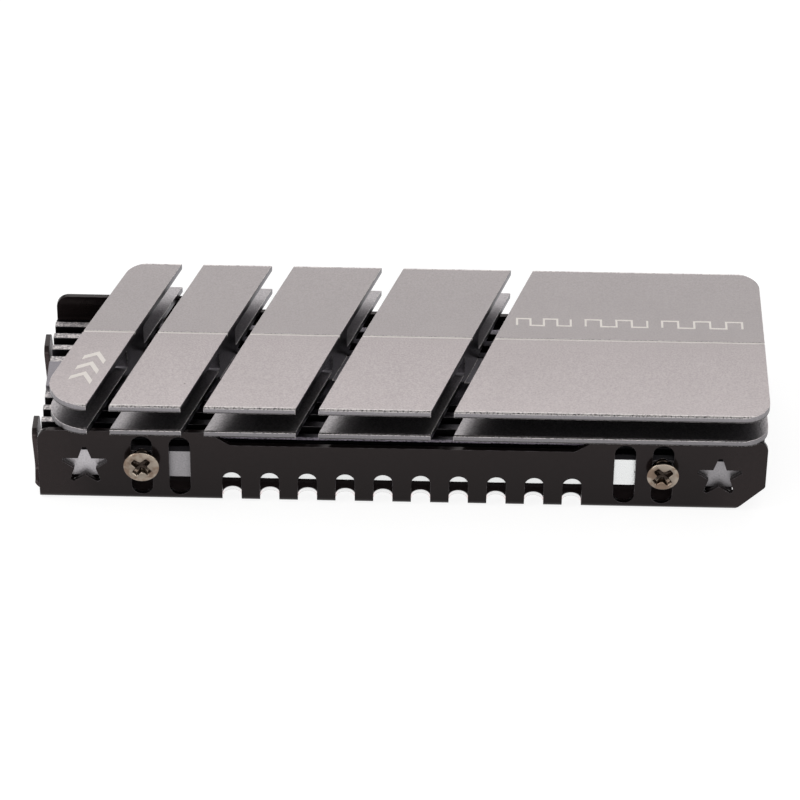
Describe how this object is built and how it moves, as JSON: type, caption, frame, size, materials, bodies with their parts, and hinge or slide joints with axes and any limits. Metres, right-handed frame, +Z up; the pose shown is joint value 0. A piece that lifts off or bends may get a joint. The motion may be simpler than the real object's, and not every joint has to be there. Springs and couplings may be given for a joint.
{
  "type": "ssd heat sink",
  "caption": "Milled aluminium fin block with slanted cuts, held in a folded black sheet tray by side screws in upright slots.",
  "frame": {"origin": "middle of the object's outer box, on the surface that the tray stands on", "axes": "+X along the length towards the chamfered tray end, +Y across towards the rear wall, +Z up through the fins"},
  "size_m": [0.0728, 0.0252, 0.0122],
  "materials": {
    "blasted_aluminium": "bead-blasted, anodised silver grey, satin",
    "black_sheet": "satin black coating",
    "screw_nickel": "dull nickel plating, lightly worn",
    "thermal_pad": "matt soft silicone"
  },
  "bodies": {
    "tray": {"tray": "black_sheet", "lower_pad": "thermal_pad"},
    "fin_block": {"heat_sink": "blasted_aluminium", "upper_pad": "thermal_pad", "screw_front_left": "screw_nickel", "screw_front_right": "screw_nickel", "screw_rear_left": "screw_nickel", "screw_rear_right": "screw_nickel"}
  },
  "joints": [
    {"name": "height_slide", "type": "slide", "parent": "tray", "child": "fin_block", "axis": [0, 0, 1], "range_m": [0, 0.0021]}
  ]
}
